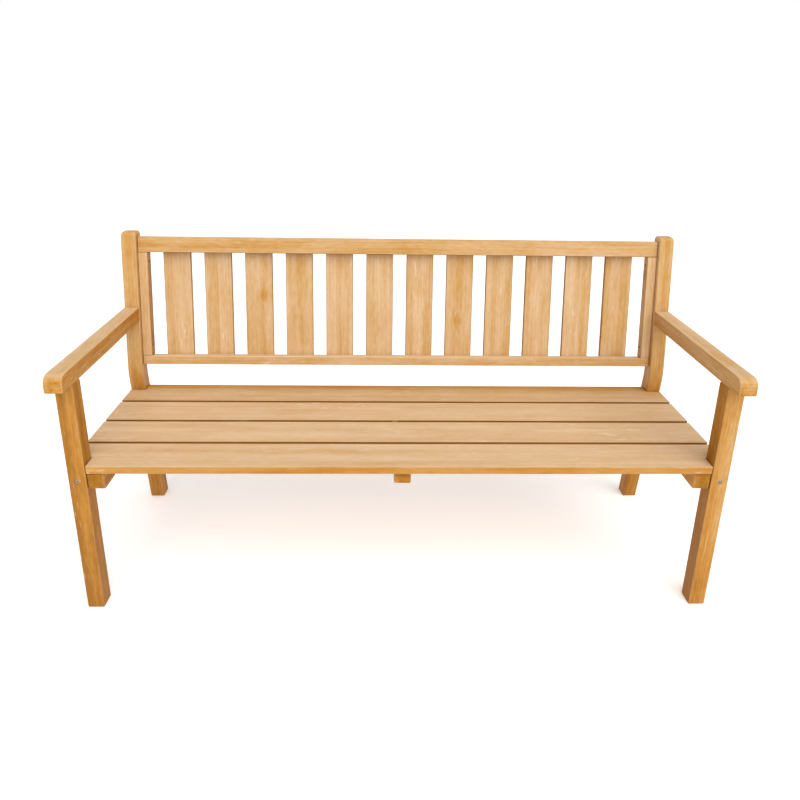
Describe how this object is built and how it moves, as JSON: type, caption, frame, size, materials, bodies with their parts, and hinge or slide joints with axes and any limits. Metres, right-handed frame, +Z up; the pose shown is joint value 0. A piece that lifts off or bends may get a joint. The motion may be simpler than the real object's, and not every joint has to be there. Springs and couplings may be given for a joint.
{
  "type": "garden bench",
  "caption": "Three-seater wooden garden bench with a boarded seat, level armrests and a leaning back of upright slats between two rails.",
  "frame": {"origin": "on the floor, in the middle of the bench's outer box", "axes": "+X along the seat, to the right for someone looking at the bench from the front; -Y towards the side a sitter faces; +Z up"},
  "size_m": [1.6, 0.5688, 0.878],
  "materials": {
    "stained_wood": "satin stained softwood, darker honey",
    "stained_wood_pale": "satin stained softwood, pale honey",
    "dowel_wood": "plain hardwood",
    "zinc_steel": "zinc-plated"
  },
  "bodies": {
    "root": {"front_leg_left": "stained_wood", "back_post_left": "stained_wood", "armrest_left": "stained_wood", "side_rail_left": "stained_wood", "seat_bearer_left": "stained_wood", "back_batten_left": "stained_wood_pale", "front_leg_right": "stained_wood", "back_post_right": "stained_wood", "armrest_right": "stained_wood", "side_rail_right": "stained_wood", "seat_bearer_right": "stained_wood", "back_batten_right": "stained_wood_pale", "seat_bearer_centre": "stained_wood", "seat_board_1": "stained_wood_pale", "seat_board_2": "stained_wood_pale", "seat_board_3": "stained_wood_pale", "seat_board_4": "stained_wood_pale", "back_top_rail": "stained_wood_pale", "back_bottom_rail": "stained_wood_pale", "back_slat_01": "stained_wood_pale", "back_slat_02": "stained_wood_pale", "back_slat_03": "stained_wood_pale", "back_slat_04": "stained_wood_pale", "back_slat_05": "stained_wood_pale", "back_slat_06": "stained_wood_pale", "back_slat_07": "stained_wood_pale", "back_slat_08": "stained_wood_pale", "back_slat_09": "stained_wood_pale", "back_slat_10": "stained_wood_pale", "back_slat_11": "stained_wood_pale", "back_slat_12": "stained_wood_pale", "leg_screw_left": "zinc_steel", "post_screw_left": "zinc_steel", "arm_screw_left": "zinc_steel", "bearer_screw_left_front": "zinc_steel", "bearer_screw_left_rear": "zinc_steel", "panel_screw_left_upper": "zinc_steel", "panel_screw_left_lower": "zinc_steel", "leg_screw_right": "zinc_steel", "post_screw_right": "zinc_steel", "arm_screw_right": "zinc_steel", "bearer_screw_right_front": "zinc_steel", "bearer_screw_right_rear": "zinc_steel", "panel_screw_right_upper": "zinc_steel", "panel_screw_right_lower": "zinc_steel", "seat_screw_left_1": "zinc_steel", "seat_screw_left_2": "zinc_steel", "seat_screw_left_3": "zinc_steel", "seat_screw_left_4": "zinc_steel", "seat_screw_centre_1": "zinc_steel", "seat_screw_centre_2": "zinc_steel", "seat_screw_centre_3": "zinc_steel", "seat_screw_centre_4": "zinc_steel", "seat_screw_right_1": "zinc_steel", "seat_screw_right_2": "zinc_steel", "seat_screw_right_3": "zinc_steel", "seat_screw_right_4": "zinc_steel", "arm_dowel_left": "dowel_wood", "arm_dowel_right": "dowel_wood"}
  },
  "joints": []
}
